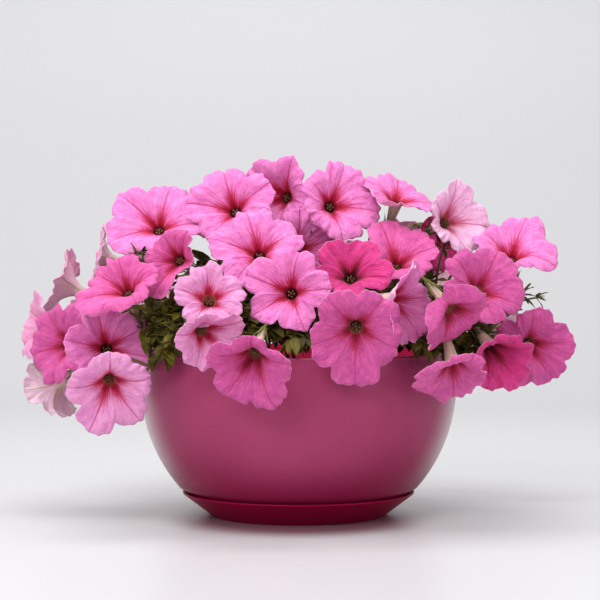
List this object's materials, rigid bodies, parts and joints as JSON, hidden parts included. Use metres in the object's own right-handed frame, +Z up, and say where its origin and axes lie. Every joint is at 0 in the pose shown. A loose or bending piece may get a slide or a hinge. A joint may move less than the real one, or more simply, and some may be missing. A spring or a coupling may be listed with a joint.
{
  "type": "potted petunia",
  "caption": "Spreading petunia in full pink flower, a mound that trails over a round plastic bowl on its own drip saucer, for a balcony, table or step.",
  "frame": {"origin": "on the pot's axis, in the plane that the saucer stands on", "axes": "+Z up; -Y towards the side shown in the picture; +X to that viewer's right"},
  "size_m": [0.4345, 0.3615, 0.2814],
  "materials": {
    "pot": "satin",
    "saucer": "satin",
    "soil": "matte",
    "root": "matte",
    "green": "matte",
    "petal": "matte"
  },
  "bodies": {
    "root": {"pot_bowl": "pot", "drip_saucer": "saucer", "potting_soil": "soil", "crown_root": "root", "bloom_01": "petal", "bloom_02": "petal", "bloom_03": "petal", "bloom_04": "petal", "bloom_05": "petal", "bloom_06": "petal", "bloom_07": "petal", "bloom_08": "petal", "bloom_09": "petal", "bloom_10": "petal", "bloom_11": "petal", "bloom_12": "petal", "bloom_13": "petal", "bloom_14": "petal", "bloom_15": "petal", "bloom_16": "petal", "bloom_17": "petal", "bloom_18": "petal", "bloom_19": "petal", "bloom_20": "petal", "bloom_21": "petal", "bloom_22": "petal", "bloom_23": "petal", "bloom_24": "petal", "bloom_25": "petal", "bloom_26": "petal", "bloom_27": "petal", "bloom_28": "petal", "bloom_29": "petal", "bloom_30": "petal", "bloom_31": "petal", "bloom_32": "petal", "bloom_33": "petal", "bloom_34": "petal", "bloom_35": "petal", "bloom_36": "petal", "bloom_37": "petal", "bloom_38": "petal", "bloom_39": "petal", "bloom_40": "petal", "bloom_41": "petal", "bloom_42": "petal", "bloom_43": "petal", "bloom_44": "petal", "bloom_45": "petal", "bloom_46": "petal", "shoot_01": "green", "shoot_02": "green", "shoot_03": "green", "shoot_04": "green", "shoot_05": "green", "shoot_06": "green", "shoot_07": "green", "shoot_08": "green", "shoot_09": "green", "shoot_10": "green"}
  },
  "joints": []
}
